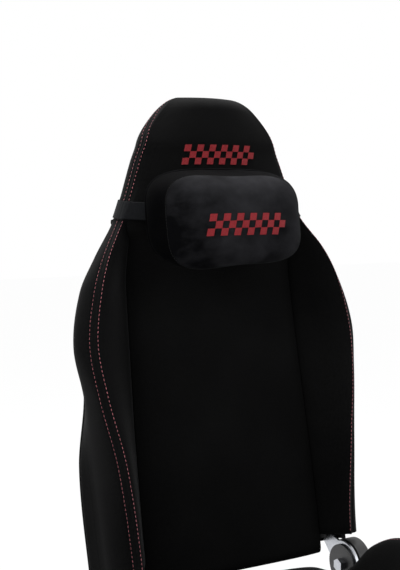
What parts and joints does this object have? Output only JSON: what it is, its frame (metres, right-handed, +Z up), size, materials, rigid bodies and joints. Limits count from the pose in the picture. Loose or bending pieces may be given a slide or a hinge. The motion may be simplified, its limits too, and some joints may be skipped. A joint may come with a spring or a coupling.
{
  "type": "racing seat",
  "caption": "Reclining bucket-style racing seat with flared shoulder wings, a strap-on head pillow, a sprung recliner and floor slides.",
  "frame": {"origin": "centre of the four floor bolt holes, on the underside of the floor rails", "axes": "+Z up, +X across the seat towards the sitter's left, -Y towards the sitter's front"},
  "size_m": [0.5518, 0.7144, 0.9873],
  "materials": {
    "seat_fabric": "matte",
    "pillow_velvet": "matte",
    "strap_elastic": "matte",
    "black_plastic": "satin",
    "grip_foam": "matte",
    "black_steel": "satin",
    "zinc_steel": "satin"
  },
  "bodies": {
    "floor_rails": {"floor_rail_left": "zinc_steel", "floor_rail_right": "zinc_steel"},
    "ball_cages": {"ball_cage_left": "black_plastic", "ball_cage_right": "black_plastic", "slide_balls": "zinc_steel"},
    "seat_base": {"upper_rail_left": "zinc_steel", "upper_rail_right": "zinc_steel", "side_plate_left": "black_steel", "side_plate_right": "black_steel", "front_cross_tube": "black_steel", "rear_cross_tube": "black_steel", "seat_pan": "black_steel", "centre_cushion": "seat_fabric", "thigh_bolster_left": "seat_fabric", "thigh_bolster_right": "seat_fabric", "recliner_cover_left": "black_plastic", "recliner_cover_right": "black_plastic", "cover_screws": "zinc_steel", "hip_bolts": "zinc_steel", "rod_bushes": "black_plastic", "rail_bolts": "zinc_steel", "handle_pins": "zinc_steel"},
    "recliner_release": {"release_rod": "zinc_steel", "pawl_left": "zinc_steel", "pawl_right": "zinc_steel", "release_lever": "black_steel", "lever_grip": "black_plastic"},
    "slide_handle": {"handle_arm_left": "black_steel", "handle_arm_right": "black_steel", "handle_bar": "black_steel", "handle_sleeve": "grip_foam"},
    "backrest": {"back_tube_left": "black_steel", "back_tube_right": "black_steel", "head_cross_tube": "black_steel", "shoulder_cross_tube": "black_steel", "lumbar_cross_tube": "black_steel", "hip_cross_tube": "black_steel", "recliner_arm_left": "zinc_steel", "recliner_arm_right": "zinc_steel", "back_webs": "strap_elastic", "back_centre_pad": "seat_fabric", "back_wing_left": "seat_fabric", "back_wing_right": "seat_fabric", "head_pad": "seat_fabric", "rear_cover": "seat_fabric", "rear_zip": "black_plastic"},
    "pillow_set": {"head_pillow": "pillow_velvet", "pillow_strap": "strap_elastic", "strap_slider": "black_plastic"}
  },
  "joints": [
    {"name": "fore_aft_slide", "type": "slide", "parent": "floor_rails", "child": "seat_base", "axis": [0, 1, 0], "range_m": [-0.08, 0.08]},
    {"name": "ball_cage_slide", "type": "slide", "parent": "floor_rails", "child": "ball_cages", "axis": [0, 1, 0], "range_m": [-0.04, 0.04]},
    {"name": "recline", "type": "hinge", "parent": "seat_base", "child": "backrest", "pos_m": [0, 0.19, 0.15], "axis": [-1, 0, 0], "range_deg": [-30, 55]},
    {"name": "release_lever_lift", "type": "hinge", "parent": "seat_base", "child": "recliner_release", "pos_m": [0, 0.19308, 0.09318], "axis": [-1, 0, 0], "range_deg": [0, 22], "stiffness_Nm_per_rad": 3, "springref_deg": -17.19},
    {"name": "slide_handle_lift", "type": "hinge", "parent": "seat_base", "child": "slide_handle", "pos_m": [0, -0.06, 0.048], "axis": [-1, 0, 0], "range_deg": [0, 8], "stiffness_Nm_per_rad": 6, "springref_deg": -17.19},
    {"name": "pillow_slide", "type": "slide", "parent": "backrest", "child": "pillow_set", "axis": [0, 0.1908, 0.9816], "range_m": [0, 0.06]}
  ],
  "couplings": [
    {"joint": "ball_cage_slide", "follows": "fore_aft_slide", "ratio": 0.5}
  ]
}
